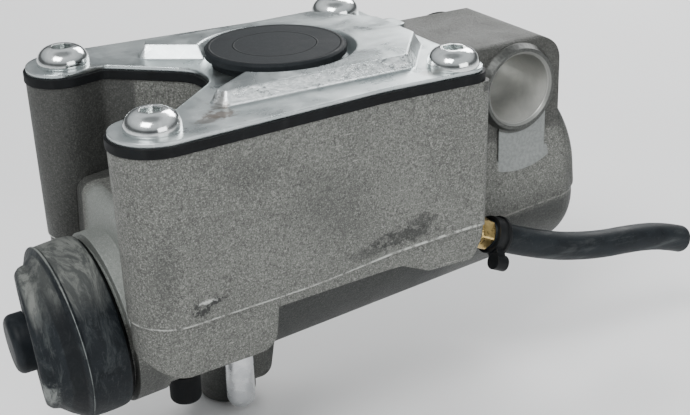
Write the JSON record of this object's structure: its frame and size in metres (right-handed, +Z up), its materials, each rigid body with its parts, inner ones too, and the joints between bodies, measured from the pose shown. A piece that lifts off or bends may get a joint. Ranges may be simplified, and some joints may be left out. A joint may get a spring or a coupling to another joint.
{
  "type": "brake master cylinder",
  "caption": "Cast master cylinder with a horseshoe reservoir, stamped lid, rubber filler plug, booted push rod, cross-bored eye and a barbed hose outlet.",
  "frame": {"origin": "centre of the cross bore in the eye, on the mid-plane of the barrel", "axes": "+X from the push rod towards the closed end with the eye, level with the reservoir's rim; +Y along the eye's bore, away from the hose fitting; +Z up, out of the filler plug"},
  "size_m": [0.1611, 0.067, 0.0835],
  "materials": {
    "cast_aluminium": "as-cast, grainy and stained",
    "zinc_lid": "zinc plated, satin",
    "bright_steel": "bright zinc plated",
    "zinc_pin": "bright zinc plated",
    "black_steel": "black, satin",
    "spring_steel": "oiled spring steel",
    "piston_aluminium": "machined, clear anodised",
    "brass": "turned",
    "cap_rubber": "matt moulded",
    "boot_rubber": "matt moulded, dusty",
    "black_rubber": "matt moulded",
    "hose_rubber": "extruded, satin",
    "black_plastic": "moulded"
  },
  "bodies": {
    "casting": {"cast_barrel": "cast_aluminium", "cast_reservoir": "cast_aluminium", "cast_eye": "cast_aluminium", "reservoir_lid": "zinc_lid", "lid_gasket": "black_rubber", "lid_screws": "bright_steel", "residual_valve_shell": "brass", "residual_valve_seat": "black_rubber", "stop_washer": "bright_steel", "retaining_ring": "spring_steel", "outlet_tube_seat": "brass", "barb_fitting": "brass", "hose": "hose_rubber", "hose_clamp": "black_plastic", "locating_pin": "zinc_pin", "rubber_bumper": "black_rubber", "return_spring": "spring_steel", "rubber_boot": "boot_rubber"},
    "plunger": {"push_rod": "black_steel", "piston": "piston_aluminium", "cup_washer": "bright_steel", "primary_cup": "black_rubber", "secondary_cup": "black_rubber", "spring_seat": "bright_steel"},
    "filler_plug": {"filler_plug": "cap_rubber"}
  },
  "joints": [
    {"name": "piston_slide", "type": "slide", "parent": "casting", "child": "plunger", "axis": [0.9962, 0, 0.0872], "range_m": [0, 0.015], "stiffness_N_per_m": 1500, "springref_m": -0.01, "deforming": ["return_spring", "rubber_boot"]},
    {"name": "filler_plug_lift", "type": "slide", "parent": "casting", "child": "filler_plug", "axis": [0, 0, 1], "range_m": [0, 0.02]}
  ]
}
